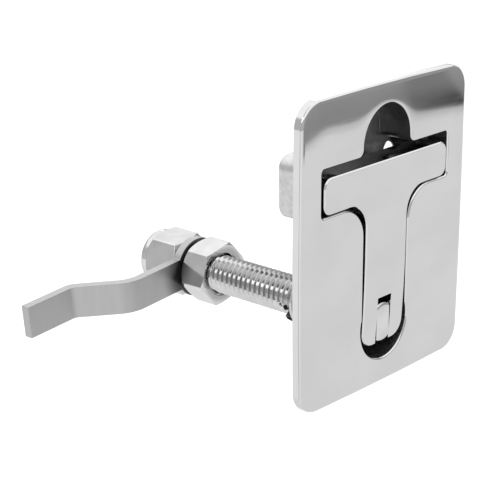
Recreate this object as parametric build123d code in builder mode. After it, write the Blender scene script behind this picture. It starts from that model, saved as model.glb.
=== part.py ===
"""Flush pull latch with a folding T-handle, a threaded spindle and a cranked cam arm.

Millimetres. The origin lies on the spindle axis, at the back face of the plate.
+Z is up, +X is to the right seen from the front, and +Y runs into the panel.
"""

import os
from math import cos, radians, sin, sqrt, tan

from build123d import *

# Plate: flat front, slightly bowed edges
plate_side_margin = 8.65
plate_top_margin = 6.25
plate_bottom_margin = 7.55
plate_thickness = 3.0
plate_corner_radius = 7.2
plate_edge_bow = 0.5
plate_rim_radius = 1.0

# T-shaped opening in the plate, with a round finger notch above the crossbar
bar_opening_width = 57.7
bar_opening_height = 13.4
bar_opening_above_spindle = 37.85
stem_opening_width = 20.3
round_opening_radius = 10.75
notch_width = 21.5
notch_rise = 13.2
stem_opening_fillet = 9.5
notch_corner_fillet = 2.3
opening_lip_chamfer = 0.4
bar_opening_corner = 1.0

# Pocket behind the opening and the boss that carries the spindle
pocket_depth = 8.2
pocket_floor = 3.0
pocket_wall = 2.2
pocket_corner_radius = 4.0
pocket_back_chamfer = 1.0
boss_radius = 9.5
boss_length = 8.8

# Countersunk fixing holes in the pocket floor, under the crossbar
fixing_hole_spacing = 35.8
fixing_hole_radius = 3.3
fixing_countersink_radius = 5.8
countersink_angle = 90

# Spindle: flattened tongue at the front, plain shank, threaded length behind
spindle_radius = 6.0
spindle_stand_out = 1.0
spindle_end_chamfer = 1.0
tongue_width = 5.8
tongue_proud = 2.6
tongue_edge_radius = 1.0
running_clearance = 0.05

# Handle and its pivot
handle_front = 3.3
handle_thickness = 8.8
handle_draft = 2.5
handle_side_gap = 0.8
handle_low_gap = 0.3
handle_bar_height = 10.5
handle_bar_corner = 3.0
handle_stem_gap = 0.75
handle_fillet = 7.4
handle_foot_radius = 5.0
handle_fall = 1.1
handle_fall_start = 24.0
handle_edge_chamfer = 0.4
handle_trim_margin = 1.0
heel_radius = 6.3
fork_slot_clearance = 0.2
fork_slot_top = 8.1
pivot_radius = 2.0
pivot_depth = 1.5
pivot_setback = 0.5

# Sealing and bearing of the spindle inside the boss
groove_floor_radius = 4.75
groove_width = 1.5
seal_width = 1.3
seal_gap = 0.02
seal_positions = (9.7, 11.9)
bush_radius = 7.5
bush_length = 7.0
bush_flange_radius = 9.0
bush_flange_thickness = 1.2

# Spring stack and retaining pin behind the boss
spring_outer_radius = 8.6
spring_thickness = 0.9
spring_cone_height = 1.1
thrust_washer_radius = 8.0
thrust_washer_thickness = 1.0
retaining_pin_radius = 1.5
retaining_pin_length = 15.4
retaining_pin_wall = 0.6
retaining_pin_angle = 40.0

# Cranked cam arm and its nuts
arm_face = 70.9
arm_thickness = 3.0
arm_width = 10.2
arm_eye_radius = 9.5
arm_length = 59.6
arm_crank_start = 28.4
arm_crank_end = 41.3
arm_crank_rise = 13.0
arm_inner_bend = 2.2
arm_outer_bend = 9.0
arm_rest_angle = 5.1
nut_across_flats = 18.0
nut_across_corners = 20.05
clamp_nut_height = 10.8
clamp_nut_angle = 14.6
lock_nut_height = 15.4
lock_nut_hex_height = 10.2
lock_nut_collar_radius = 8.5
lock_nut_crown_setback = 1.6
lock_nut_crown_height = 1.4
lock_nut_angle = 9.6
nut_chamfer_angle = 30.0
nut_chamfer_share = 0.95
nut_mouth = 0.8
insert_radius = 7.0
insert_height = 2.4
insert_setback = 1.2

# Places that follow from the sizes above
bar_opening_top = bar_opening_above_spindle + bar_opening_height
bar_centre = bar_opening_above_spindle + bar_opening_height / 2
notch_top = bar_opening_top + notch_rise
plate_width = bar_opening_width + 2 * plate_side_margin
plate_top = notch_top + plate_top_margin
plate_bottom = -round_opening_radius - plate_bottom_margin
plate_centre = (plate_top + plate_bottom) / 2
pocket_back = pocket_depth + pocket_floor
boss_end = pocket_back + boss_length
bore_radius = spindle_radius + running_clearance
bush_start = boss_end - bush_length
bush_end = boss_end + bush_flange_thickness
handle_back = handle_thickness - handle_front
handle_bar_low = bar_opening_above_spindle + handle_low_gap
handle_half_width = bar_opening_width / 2 - handle_side_gap
handle_stem_half = stem_opening_width / 2 - handle_stem_gap
tongue_root = pivot_depth + heel_radius + running_clearance
spring_height = spring_thickness + spring_cone_height
washer_start = bush_end + 2 * spring_height
pin_centre = washer_start + thrust_washer_thickness + retaining_pin_radius
arm_back = arm_face + arm_thickness
clamp_nut_start = arm_face - clamp_nut_height
lock_nut_end = arm_back + lock_nut_height
spindle_end = lock_nut_end + spindle_stand_out


def facing(depth):
    """Plane parallel to the plate, seen from the front, at a depth behind the plate's back face."""
    return Plane(origin=(0, depth, 0), x_dir=(1, 0, 0), z_dir=(0, -1, 0))


def corners(sketch, points):
    """The sketch's vertices that lie nearest to the given points."""
    return [sketch.vertices().sort_by_distance(Vector(*point))[0] for point in points]


def t_opening(grow, corner_radius):
    """Outline of the opening, grown outwards by a wall."""
    half_bar = bar_opening_width / 2 + grow
    low = bar_opening_above_spindle - grow
    high = bar_opening_top + grow
    half_stem = stem_opening_width / 2 + grow
    half_notch = notch_width / 2 + grow
    notch_centre = notch_top - notch_width / 2
    with BuildSketch() as outline:
        with Locations((0, (low + high) / 2)):
            Rectangle(2 * half_bar, high - low)
        if corner_radius:
            fillet(outline.vertices(), corner_radius)
        with Locations((0, low / 2)):
            Rectangle(2 * half_stem, low)
        Circle(round_opening_radius + grow)
        with Locations((0, (bar_centre + notch_centre) / 2)):
            Rectangle(2 * half_notch, notch_centre - bar_centre)
        with Locations((0, notch_centre)):
            Circle(half_notch)
        stem_points = [(side * half_stem, low) for side in (-1, 1)]
        fillet(corners(outline, stem_points), stem_opening_fillet - grow)
        if notch_corner_fillet > 2 * grow:
            notch_points = [(side * half_notch, high) for side in (-1, 1)]
            fillet(corners(outline, notch_points), notch_corner_fillet - grow)
    return outline.sketch_local


# Flush body: plate, pocket and boss are one casting
with BuildPart() as flush_body:
    with BuildSketch(facing(0)) as plate_outline:
        with BuildLine():
            right = plate_width / 2 - plate_edge_bow
            low = plate_bottom + plate_edge_bow
            high = plate_top - plate_edge_bow
            ThreePointArc((-right, low), (0, low - plate_edge_bow), (right, low))
            ThreePointArc((right, low), (right + plate_edge_bow, plate_centre), (right, high))
            ThreePointArc((right, high), (0, high + plate_edge_bow), (-right, high))
            ThreePointArc((-right, high), (-right - plate_edge_bow, plate_centre), (-right, low))
        make_face()
        fillet(plate_outline.vertices(), plate_corner_radius)
    extrude(amount=plate_thickness)
    plate_front = flush_body.faces().sort_by(Axis.Y)[0]
    fillet(plate_front.outer_wire().edges(), plate_rim_radius)
    with BuildSketch(facing(0)):
        add(t_opening(pocket_wall, pocket_corner_radius))
    extrude(amount=-pocket_back)
    pocket_rear = flush_body.faces().sort_by(Axis.Y)[-1]
    chamfer(pocket_rear.edges(), pocket_back_chamfer)
    with BuildSketch(facing(pocket_depth)):
        Circle(boss_radius)
    extrude(amount=-(boss_end - pocket_depth))
    with BuildSketch(facing(pocket_depth)):
        add(t_opening(0, bar_opening_corner))
    extrude(amount=pocket_depth + 2 * plate_thickness, mode=Mode.SUBTRACT)
    plate_front = flush_body.faces().sort_by(Axis.Y)[0]
    chamfer(plate_front.inner_wires()[0].edges(), opening_lip_chamfer)
    with BuildSketch(facing(0)):
        Circle(bore_radius)
    extrude(amount=-boss_end, mode=Mode.SUBTRACT)
    with BuildSketch(facing(bush_start)):
        Circle(bush_radius)
    extrude(amount=-bush_length, mode=Mode.SUBTRACT)
    with Locations(facing(pocket_depth)):
        with Locations((-fixing_hole_spacing / 2, bar_centre), (fixing_hole_spacing / 2, bar_centre)):
            CounterSinkHole(
                radius=fixing_hole_radius,
                counter_sink_radius=fixing_countersink_radius,
                depth=2 * pocket_floor,
                counter_sink_angle=countersink_angle,
            )
flush_body.part.label = "flush_body"


def faces_the_front(face):
    """Whether a face of the handle looks out of the panel."""
    return face.normal_at().Y < -0.9


# Handle: drafted T with a forked foot, trimmed by its side profile
with BuildPart() as t_handle:
    with BuildSketch(facing(-handle_front)) as handle_outline:
        with Locations((0, handle_bar_low + handle_bar_height / 2)):
            Rectangle(2 * handle_half_width, handle_bar_height)
        fillet(handle_outline.vertices(), handle_bar_corner)
        with Locations((0, (handle_bar_low - heel_radius) / 2)):
            Rectangle(2 * handle_stem_half, handle_bar_low + heel_radius)
        foot_points = [(side * handle_stem_half, -heel_radius) for side in (-1, 1)]
        fillet(corners(handle_outline, foot_points), handle_foot_radius)
        neck_points = [(side * handle_stem_half, handle_bar_low) for side in (-1, 1)]
        fillet(corners(handle_outline, neck_points), handle_fillet)
    extrude(amount=-handle_thickness, taper=handle_draft)
    with BuildSketch(Plane.YZ) as side_profile:
        with BuildLine():
            handle_head = handle_bar_low + handle_bar_height + handle_trim_margin
            heel_rise = sqrt(heel_radius**2 - (handle_back - pivot_depth) ** 2)
            Line((-handle_front, handle_head), (-handle_front, handle_fall_start))
            TangentArc(
                (-handle_front, handle_fall_start),
                (-handle_front + handle_fall, -heel_radius),
                tangent=(0, -1),
            )
            Line((-handle_front + handle_fall, -heel_radius), (pivot_depth, -heel_radius))
            RadiusArc((pivot_depth, -heel_radius), (handle_back, -heel_rise), -heel_radius)
            Line((handle_back, -heel_rise), (handle_back, handle_head))
            Line((handle_back, handle_head), (-handle_front, handle_head))
        make_face()
    extrude(amount=handle_half_width + handle_trim_margin, both=True, mode=Mode.INTERSECT)
    front_faces = t_handle.faces().filter_by(faces_the_front)
    front_edges = ShapeList(edge for face in front_faces for edge in face.edges())
    rim_edges = [edge for edge in front_edges if sum(edge == other for other in front_edges) == 1]
    chamfer(rim_edges, handle_edge_chamfer)
    with BuildSketch(facing(handle_back)):
        with Locations((0, fork_slot_top / 2 - heel_radius)):
            Rectangle(tongue_width + 2 * fork_slot_clearance, fork_slot_top + 2 * heel_radius)
    extrude(amount=handle_thickness, mode=Mode.SUBTRACT)
    with BuildSketch(Plane.YZ):
        with Locations((pivot_depth, 0)):
            Circle(pivot_radius)
    extrude(amount=handle_stem_half, both=True, mode=Mode.SUBTRACT)
t_handle.part.label = "t_handle"

# Pivot pin: pressed into the fork and turning in the tongue
with BuildPart() as pivot_pin:
    with BuildSketch(Plane.YZ):
        with Locations((pivot_depth, 0)):
            Circle(pivot_radius)
    extrude(amount=handle_stem_half - pivot_setback, both=True)
pivot_pin.part.label = "pivot_pin"

# Spindle
with BuildPart() as spindle:
    with BuildSketch(facing(-tongue_proud)):
        Circle(spindle_radius)
    extrude(amount=-(tongue_proud + spindle_end))
    chamfer(spindle.edges().sort_by(Axis.Y)[-1], spindle_end_chamfer)
    with BuildSketch(facing(-tongue_proud)):
        Rectangle(3 * spindle_radius, 3 * spindle_radius)
        Rectangle(tongue_width, 3 * spindle_radius, mode=Mode.SUBTRACT)
    extrude(amount=-(tongue_proud + tongue_root), mode=Mode.SUBTRACT)
    tip_edges = spindle.faces().sort_by(Axis.Y)[0].edges().filter_by(GeomType.CIRCLE)
    fillet(tip_edges, tongue_edge_radius)
    for seal_position in seal_positions:
        with BuildSketch(facing(seal_position - groove_width / 2)):
            Circle(2 * spindle_radius)
            Circle(groove_floor_radius, mode=Mode.SUBTRACT)
        extrude(amount=-groove_width, mode=Mode.SUBTRACT)
    with BuildSketch(Plane.YZ):
        with Locations((pivot_depth, 0)):
            Circle(pivot_radius + running_clearance)
    extrude(amount=spindle_radius, both=True, mode=Mode.SUBTRACT)
    pin_direction = (-cos(radians(retaining_pin_angle)), 0, -sin(radians(retaining_pin_angle)))
    pin_plane = Plane(origin=(0, pin_centre, 0), x_dir=(0, 1, 0), z_dir=pin_direction)
    with BuildSketch(pin_plane):
        Circle(retaining_pin_radius)
    extrude(amount=retaining_pin_length / 2, both=True, mode=Mode.SUBTRACT)
spindle.part.label = "spindle"

# Bush: pressed into the boss from behind
with BuildPart() as spindle_bush:
    with BuildSketch(facing(bush_start)):
        Circle(bush_radius)
    extrude(amount=-bush_length)
    with BuildSketch(facing(boss_end)):
        Circle(bush_flange_radius)
    extrude(amount=-bush_flange_thickness)
    with BuildSketch(facing(bush_start)):
        Circle(bore_radius)
    extrude(amount=-(bush_end - bush_start), mode=Mode.SUBTRACT)
spindle_bush.part.label = "spindle_bush"


def seal_ring(position):
    """Square-cut rubber ring lying in a groove of the spindle."""
    with BuildPart() as ring:
        with BuildSketch(facing(position - seal_width / 2)):
            Circle(bore_radius - seal_gap)
            Circle(groove_floor_radius + seal_gap, mode=Mode.SUBTRACT)
        extrude(amount=-seal_width)
    return ring


def disc_spring(start, turned):
    """Coned spring washer that starts at a depth, with its rim forward or back."""
    inner = bore_radius
    outer = spring_outer_radius
    inner_start = start + (spring_cone_height if turned else 0)
    outer_start = start + (0 if turned else spring_cone_height)
    with BuildPart() as spring:
        with BuildSketch(Plane.XY):
            with BuildLine():
                Polyline(
                    (inner, inner_start),
                    (outer, outer_start),
                    (outer, outer_start + spring_thickness),
                    (inner, inner_start + spring_thickness),
                    close=True,
                )
            make_face()
        revolve(axis=Axis.Y)
    return spring


front_seal = seal_ring(seal_positions[0])
front_seal.part.label = "front_seal"
rear_seal = seal_ring(seal_positions[1])
rear_seal.part.label = "rear_seal"
front_spring = disc_spring(bush_end, False)
front_spring.part.label = "front_spring_washer"
rear_spring = disc_spring(bush_end + spring_height, True)
rear_spring.part.label = "rear_spring_washer"

# Thrust washer between the springs and the retaining pin
with BuildPart() as thrust_washer:
    with BuildSketch(facing(washer_start)):
        Circle(thrust_washer_radius)
        Circle(bore_radius, mode=Mode.SUBTRACT)
    extrude(amount=-thrust_washer_thickness)
thrust_washer.part.label = "thrust_washer"

# Retaining pin: slotted spring pin through the spindle
with BuildPart() as retaining_pin:
    with BuildSketch(pin_plane):
        Circle(retaining_pin_radius)
        Circle(retaining_pin_radius - retaining_pin_wall, mode=Mode.SUBTRACT)
        with Locations((retaining_pin_radius, 0)):
            Rectangle(2 * retaining_pin_radius, retaining_pin_wall, mode=Mode.SUBTRACT)
    extrude(amount=retaining_pin_length / 2, both=True)
retaining_pin.part.label = "retaining_pin"

# Cam arm: flat bar with a round eye, cranked away from the plate
arm_cos = cos(radians(arm_rest_angle))
arm_sin = sin(radians(arm_rest_angle))
arm_plane = Plane(origin=(0, 0, 0), x_dir=(-arm_cos, 0, -arm_sin), z_dir=(arm_sin, 0, -arm_cos))
arm_middle = arm_face + arm_thickness / 2
with BuildPart() as cam_arm:
    with BuildSketch(arm_plane):
        with BuildLine():
            FilletPolyline(
                (0, arm_middle),
                (arm_crank_start, arm_middle),
                (arm_crank_end, arm_middle + arm_crank_rise),
                (arm_length, arm_middle + arm_crank_rise),
                radius=(arm_outer_bend, arm_inner_bend + arm_thickness / 2),
            )
        trace(line_width=arm_thickness)
    extrude(amount=arm_width / 2, both=True)
    with BuildSketch(facing(arm_face)):
        Circle(arm_eye_radius)
    extrude(amount=-arm_thickness)
    with BuildSketch(facing(arm_face)):
        Circle(bore_radius)
    extrude(amount=-arm_thickness, mode=Mode.SUBTRACT)
cam_arm.part.label = "cam_arm"


def hexagon(start, height, corner_angle):
    """Hexagonal bar behind a depth, turned as the nut stands at rest."""
    with BuildPart() as bar:
        with BuildSketch(facing(start)):
            RegularPolygon(nut_across_flats / 2, 6, major_radius=False, rotation=corner_angle)
        extrude(amount=-height)
    return bar


nut_corner = nut_across_corners / 2
nut_face_radius = nut_chamfer_share * nut_across_flats / 2
nut_bevel = (nut_corner - nut_face_radius) * tan(radians(nut_chamfer_angle))


# Clamp nut: plain chamfered nut in front of the arm
with BuildPart() as clamp_nut:
    add(hexagon(clamp_nut_start, clamp_nut_height, clamp_nut_angle).part)
    with BuildSketch(Plane.XY):
        with BuildLine():
            Polyline(
                (bore_radius + nut_mouth, clamp_nut_start),
                (nut_face_radius, clamp_nut_start),
                (nut_corner, clamp_nut_start + nut_bevel),
                (nut_corner, arm_face - nut_bevel),
                (nut_face_radius, arm_face),
                (bore_radius + nut_mouth, arm_face),
                (bore_radius, arm_face - nut_mouth),
                (bore_radius, clamp_nut_start + nut_mouth),
                close=True,
            )
        make_face()
    revolve(axis=Axis.Y, mode=Mode.INTERSECT)
clamp_nut.part.label = "clamp_nut"

# Lock nut: hexagon with a rounded collar that holds a nylon ring
insert_end = lock_nut_end - insert_setback
with BuildPart() as lock_nut:
    add(hexagon(arm_back, lock_nut_hex_height, lock_nut_angle).part)
    with BuildSketch(Plane.XY):
        with BuildLine():
            hex_end = arm_back + lock_nut_hex_height
            rear_bevel = (nut_corner - lock_nut_collar_radius) * tan(radians(nut_chamfer_angle))
            Polyline(
                (bore_radius + nut_mouth, arm_back),
                (nut_face_radius, arm_back),
                (nut_corner, arm_back + nut_bevel),
                (nut_corner, hex_end - rear_bevel),
                (lock_nut_collar_radius, hex_end),
                (bore_radius, hex_end),
                (bore_radius, arm_back + nut_mouth),
                close=True,
            )
        make_face()
    revolve(axis=Axis.Y, mode=Mode.INTERSECT)
    with BuildSketch(facing(hex_end)):
        Circle(lock_nut_collar_radius)
    extrude(amount=-(lock_nut_end - hex_end))
    collar_end = lock_nut.faces().sort_by(Axis.Y)[-1]
    chamfer(collar_end.edges(), lock_nut_crown_height, lock_nut_crown_setback, reference=collar_end)
    with BuildSketch(facing(hex_end)):
        Circle(bore_radius)
    extrude(amount=-(lock_nut_end - hex_end), mode=Mode.SUBTRACT)
    with BuildSketch(facing(insert_end - insert_height)):
        Circle(insert_radius)
    extrude(amount=-insert_height, mode=Mode.SUBTRACT)
lock_nut.part.label = "lock_nut"

# Nylon ring held in the collar of the lock nut
with BuildPart() as lock_insert:
    with BuildSketch(facing(insert_end - insert_height)):
        Circle(insert_radius)
        Circle(bore_radius, mode=Mode.SUBTRACT)
    extrude(amount=-insert_height)
lock_insert.part.label = "lock_insert"

pieces = (
    flush_body,
    t_handle,
    pivot_pin,
    spindle,
    spindle_bush,
    front_seal,
    rear_seal,
    front_spring,
    rear_spring,
    thrust_washer,
    retaining_pin,
    cam_arm,
    clamp_nut,
    lock_nut,
    lock_insert,
)
os.makedirs("parts", exist_ok=True)
for piece in pieces:
    export_step(piece.part, f"parts/{piece.part.label}.step")
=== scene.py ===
"""Flush pull latch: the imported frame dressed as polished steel, with a thread and nuts."""

from math import ceil, cos, pi, radians, sin, tan

import bmesh
import bpy
from bpy.props import FloatProperty, FloatVectorProperty, IntProperty, PointerProperty
from bpy.types import Operator, Panel, PropertyGroup
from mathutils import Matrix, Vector
from mathutils.bvhtree import BVHTree


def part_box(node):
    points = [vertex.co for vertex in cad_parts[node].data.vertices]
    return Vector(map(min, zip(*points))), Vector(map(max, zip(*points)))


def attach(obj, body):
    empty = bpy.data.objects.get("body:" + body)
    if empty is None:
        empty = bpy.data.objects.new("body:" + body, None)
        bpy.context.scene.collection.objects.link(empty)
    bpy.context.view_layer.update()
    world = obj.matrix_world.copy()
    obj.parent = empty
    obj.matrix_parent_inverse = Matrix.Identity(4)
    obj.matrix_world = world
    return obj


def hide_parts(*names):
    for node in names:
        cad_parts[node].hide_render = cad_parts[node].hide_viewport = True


bl_info = {
    "name": "Flush pull latch",
    "version": (1, 0, 0),
    "blender": (4, 5, 0),
    "location": "3D View > Sidebar > Latch",
    "description": "Dresses a flush pull latch with a folding T-handle and a cam arm",
    "category": "Object",
}

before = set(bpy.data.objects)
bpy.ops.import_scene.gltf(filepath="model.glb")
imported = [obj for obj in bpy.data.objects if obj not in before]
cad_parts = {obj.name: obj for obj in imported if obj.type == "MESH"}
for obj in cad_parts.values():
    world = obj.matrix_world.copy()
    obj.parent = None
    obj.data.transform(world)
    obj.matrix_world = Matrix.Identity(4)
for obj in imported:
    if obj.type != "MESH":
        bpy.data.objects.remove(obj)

MM = 0.001


def along_spindle(node):
    """Where a piece of the frame starts and ends along the spindle."""
    low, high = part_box(node)
    return low.y, high.y


spindle_end = along_spindle("spindle")[1]
clamp_nut_start, clamp_nut_end = along_spindle("clamp_nut")
lock_nut_start, lock_nut_end = along_spindle("lock_nut")
thrust_washer_end = along_spindle("thrust_washer")[1]


def length(name, description, default, **settings):
    """A size in metres that shows as a distance in the sidebar."""
    settings.setdefault("min", 0.0)
    return FloatProperty(
        name=name,
        description=description,
        default=default,
        precision=5,
        subtype="DISTANCE",
        unit="LENGTH",
        **settings,
    )


def share(name, description, default):
    """A number from 0 to 1."""
    return FloatProperty(
        name=name, description=description, default=default, min=0.0, max=1.0, subtype="FACTOR"
    )


def gain(name, description, default):
    """A number from 0 upwards."""
    return FloatProperty(name=name, description=description, default=default, min=0.0)


def colour(name, description, default):
    """A surface colour."""
    return FloatVectorProperty(
        name=name,
        description=description,
        default=default,
        size=3,
        min=0.0,
        max=1.0,
        subtype="COLOR",
    )


def angle(name, description, default):
    """An angle given in degrees and kept in radians."""
    return FloatProperty(
        name=name,
        description=description,
        default=radians(default),
        subtype="ANGLE",
        unit="ROTATION",
    )


class StudioSettings(PropertyGroup):
    """Sizes and shades of the studio."""

    floor_level: length("Floor level", "Height of the floor", -0.1, min=-1.0)
    floor_width: length("Floor width", "Width of the floor", 8.0)
    floor_colour: colour("Floor", "Colour of the floor", (0.92, 0.92, 0.92))
    room_shade: share("Room light", "Light that the room gives to matt surfaces", 0.62)
    wall_shade: share("Wall", "Shade of the grey wall that polished faces mirror", 0.435)
    wall_foot: share("Wall foot", "Shade of the wall just above the white floor", 0.35)
    side_shade: share("Side wall", "Shade of the wall on the left", 0.66)
    floor_edge: share("Floor edge", "Shade of the white floor where it meets the wall", 0.76)
    left_wall: share("Left wall", "Shade of the wall straight to the left", 0.58)
    left_ceiling: share("Left ceiling", "Shade of the ceiling above the lamp on the left", 0.12)
    left_lamp: gain("Left lamp", "Light of the long lamp high on the left", 3.0)
    back_glow: gain("Back glow", "Light of the bright backdrop at the back on the right", 1.6)
    screen_shade: share("Screen", "Shade of the darker screen that stands before the wall", 0.29)
    screen_foot: share("Screen foot", "Shade of the foot of that screen on the right", 0.07)
    ceiling_gain: gain("Ceiling", "Light of the ceiling", 1.4)
    window_gain: gain("Window", "Light of the white window on the left", 1.15)
    floor_lift: share("Floor lift", "Light added to the floor for the camera alone", 0.45)
    lamp_width: length("Lamp width", "Width of the soft lamp overhead", 1.4)
    lamp_power: FloatProperty(
        name="Lamp",
        description="Power of the soft lamp overhead",
        default=9.0,
        min=0.0,
        unit="POWER",
    )


class CastingSettings(PropertyGroup):
    """Sizes and finish of the cast body and the T-handle."""

    body_edge: length("Body edge", "Rounding left by polishing on the body's edges", 0.12 * MM)
    handle_edge: length("Handle edge", "Rounding left on the handle's edges", 0.045 * MM)
    notch_hollow: length("Notch hollow", "How far the plate sinks at the notch", 0.03 * MM)
    polish_colour: colour("Polished", "Colour of the polished steel", (0.615, 0.615, 0.615))
    polish_roughness: share("Polish roughness", "How blurred the polished faces mirror", 0.03)
    pocket_colour: colour("Pocket", "Colour of the dark skin in the pocket", (0.28, 0.28, 0.28))
    rim_colour: colour("Rim back", "Colour of the skin on the back of the rim", (0.3, 0.3, 0.3))
    back_colour: colour("Back", "Colour of the blasted back of the casting", (0.62, 0.62, 0.62))


class SpindleSettings(PropertyGroup):
    """Sizes and finish of the spindle and its thread."""

    thread_start: length("Thread start", "Where the thread begins", thrust_washer_end + 0.15 * MM)
    pitch: length("Pitch", "Distance from crest to crest", 1.93 * MM)
    crest_radius: length("Crest radius", "Radius over the crests", 6.0 * MM)
    root_radius: length("Root radius", "Radius in the roots", 4.75 * MM)
    tip_chamfer: length("Tip chamfer", "Chamfer on the rear end", 1.0 * MM)
    run_in: gain("Run-in", "Turns over which the thread rises to its full height", 0.8)
    overlap: length("Overlap", "How far the thread runs into the plain shank", 0.05 * MM)
    shank_edge: length("Shank edge", "Rounding on the edges of the shank and tongue", 0.12 * MM)
    steps_a_turn: IntProperty(
        name="Steps a turn", description="Faces round each turn", default=64, min=12, max=240
    )
    steps_a_tooth: IntProperty(
        name="Steps a tooth", description="Faces across each tooth", default=22, min=4, max=40
    )
    steel: colour("Steel", "Colour of the machined steel", (0.64, 0.64, 0.64))
    roughness: share("Roughness", "How blurred the machined faces mirror", 0.12)


class NutSettings(PropertyGroup):
    """Sizes and finish of the two nuts, and the shade painted in their bores."""

    across_flats: length("Across flats", "Width of the hexagon over its flats", 18.0 * MM)
    across_corners: length("Across corners", "Width over the blunted corners", 20.66 * MM)
    bore_radius: length("Bore radius", "Radius of the hole", 6.05 * MM)
    mouth: length("Mouth", "Width of the chamfer at the hole", 0.8 * MM)
    front_mouth: length("Front mouth", "Width of the clamp nut's front chamfer", 0.85 * MM)
    face_colour: colour("Face", "Colour of the clamp nut's dull front face", (0.38, 0.38, 0.38))
    # Painted shade: the nuts' bores are painted dark for the shade inside them
    bore_painted_shade: colour("Bore", "Colour of the oily thread inside the nuts", (0.06, 0.06, 0.06))
    edge_softness: length("Edge softness", "Width over which flats run into chamfers", 0.2 * MM)
    clamp_nut_angle: angle("Clamp nut angle", "Turn of the nut in front of the arm", 12.5)
    clamp_face: length("Clamp nut face", "Radius of the clamp nut's front face", 9.5 * MM)
    clamp_seat: length("Clamp nut seat", "Radius on which it bears on the arm", 7.8 * MM)
    lock_nut_angle: angle("Lock nut angle", "Turn of the nut behind the arm", 9.6)
    lock_seat: length("Lock nut seat", "Radius on which it bears on the arm", 8.6 * MM)
    collar_radius: length("Collar radius", "Radius of the lock nut's collar", 8.85 * MM)
    collar_length: length("Collar length", "Length of the lock nut's collar", 3.2 * MM)
    crown: length("Crown", "Rounding of the collar's rear end", 1.8 * MM)
    insert_radius: length("Insert radius", "Radius of the seat of the nylon ring", 7.0 * MM)
    insert_height: length("Insert height", "Thickness of the nylon ring", 2.4 * MM)
    insert_setback: length("Insert setback", "Steel left behind the nylon ring", 1.2 * MM)
    steps_around: IntProperty(
        name="Steps around", description="Faces round each nut", default=240, min=24, max=480
    )
    steel: colour("Steel", "Colour of the nuts", (0.62, 0.62, 0.62))
    roughness: share("Roughness", "How blurred the nuts mirror", 0.11)


class ArmSettings(PropertyGroup):
    """Finish of the cam arm, and the shade painted round the clamp nut."""

    edge: length("Edge", "Rounding on the arm's edges", 0.22 * MM)
    steel: colour("Steel", "Colour of the arm", (0.45, 0.45, 0.45))
    roughness: share("Roughness", "How matt the arm is", 0.36)
    # Painted shade: a dark ring on the arm's face round the clamp nut, for the shade in the gap
    # between them
    darkening: colour("Darkening", "Colour of the stain round the clamp nut", (0.1, 0.1, 0.1))
    painted_shade_inner: length("Stain inner radius", "Radius to which the stain is full", 9.6 * MM)
    painted_shade_outer: length("Stain outer radius", "Radius at which the stain ends", 17.0 * MM)


class SmallPieceSettings(PropertyGroup):
    """Colours of the small pieces."""

    spring_steel: colour("Springs", "Colour of the springs and the washer", (0.6, 0.6, 0.6))
    pivot_steel: colour("Pivot pin", "Colour of the pivot pin", (0.62, 0.62, 0.62))
    pin_black: colour("Retaining pin", "Colour of its black oxide", (0.02, 0.02, 0.022))
    rubber: colour("Rubber", "Colour of the seals", (0.018, 0.018, 0.018))
    bush_plastic: colour("Bush", "Colour of the bearing bush", (0.05, 0.05, 0.05))
    nylon: colour("Nylon", "Colour of the locking ring", (0.85, 0.85, 0.82))


def add_node(tree, kind, inputs=None, **settings):
    """New node with its settings, and with a value or a link for each named input."""
    node = tree.nodes.new(kind)
    for key, value in settings.items():
        setattr(node, key, value)
    for key, value in (inputs or {}).items():
        if isinstance(value, bpy.types.NodeSocket):
            tree.links.new(value, node.inputs[key])
        else:
            node.inputs[key].default_value = value
    return node


class Sums:
    """Arithmetic with the sockets of one node tree."""

    def __init__(self, tree):
        self.tree = tree

    def do(self, operation, *values):
        """One Math node."""
        inputs = dict(enumerate(values))
        return add_node(self.tree, "ShaderNodeMath", inputs, operation=operation).outputs[0]

    def ramp(self, value, low, high, start=0.0, end=1.0):
        """Smooth step from start to end as value goes from low to high."""
        inputs = {"Value": value, 1: low, 2: high, 3: start, 4: end}
        node = add_node(
            self.tree, "ShaderNodeMapRange", inputs, interpolation_type="SMOOTHSTEP"
        )
        return node.outputs[0]

    def dot(self, vector, constant):
        """Dot product with a fixed vector."""
        node = add_node(
            self.tree, "ShaderNodeVectorMath", {0: vector, 1: constant}, operation="DOT_PRODUCT"
        )
        return node.outputs["Value"]

    def limit(self, value, low, high):
        """The value kept between low and high."""
        return self.do("MINIMUM", self.do("MAXIMUM", value, low), high)

    def distance(self, across, up):
        """Length of a line that goes so far across and so far up."""
        squares = [self.do("POWER", side, 2.0) for side in (across, up)]
        return self.do("SQRT", self.do("ADD", *squares))

    def blend(self, factor, first, second):
        """Number that goes from first to second."""
        inputs = {0: factor, 2: first, 3: second}
        return add_node(self.tree, "ShaderNodeMix", inputs, data_type="FLOAT").outputs[0]


def new_material(name, base, metallic, roughness):
    """Material with one shader, and with it its tree and that shader."""
    material = bpy.data.materials.new(name)
    material.use_nodes = True
    material.diffuse_color = (*base, 1.0)
    material.metallic = metallic
    material.roughness = roughness
    tree = material.node_tree
    tree.nodes.clear()
    shader = add_node(
        tree,
        "ShaderNodeBsdfPrincipled",
        {"Base Color": (*base, 1.0), "Metallic": metallic, "Roughness": roughness},
    )
    add_node(tree, "ShaderNodeOutputMaterial", {"Surface": shader.outputs[0]})
    return material, tree, shader


def pattern(tree, scale, stretch=(1.0, 1.0, 1.0), detail=2.0, turn=(0.0, 0.0, 0.0)):
    """Noise on the piece, scale in features a metre, drawn out where stretch is small."""
    place = add_node(tree, "ShaderNodeTexCoord")
    mapping = add_node(
        tree,
        "ShaderNodeMapping",
        {"Vector": place.outputs["Object"], "Scale": stretch, "Rotation": turn},
    )
    noise = add_node(
        tree,
        "ShaderNodeTexNoise",
        {"Vector": mapping.outputs[0], "Scale": scale, "Detail": detail},
    )
    return noise.outputs[0]


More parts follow.
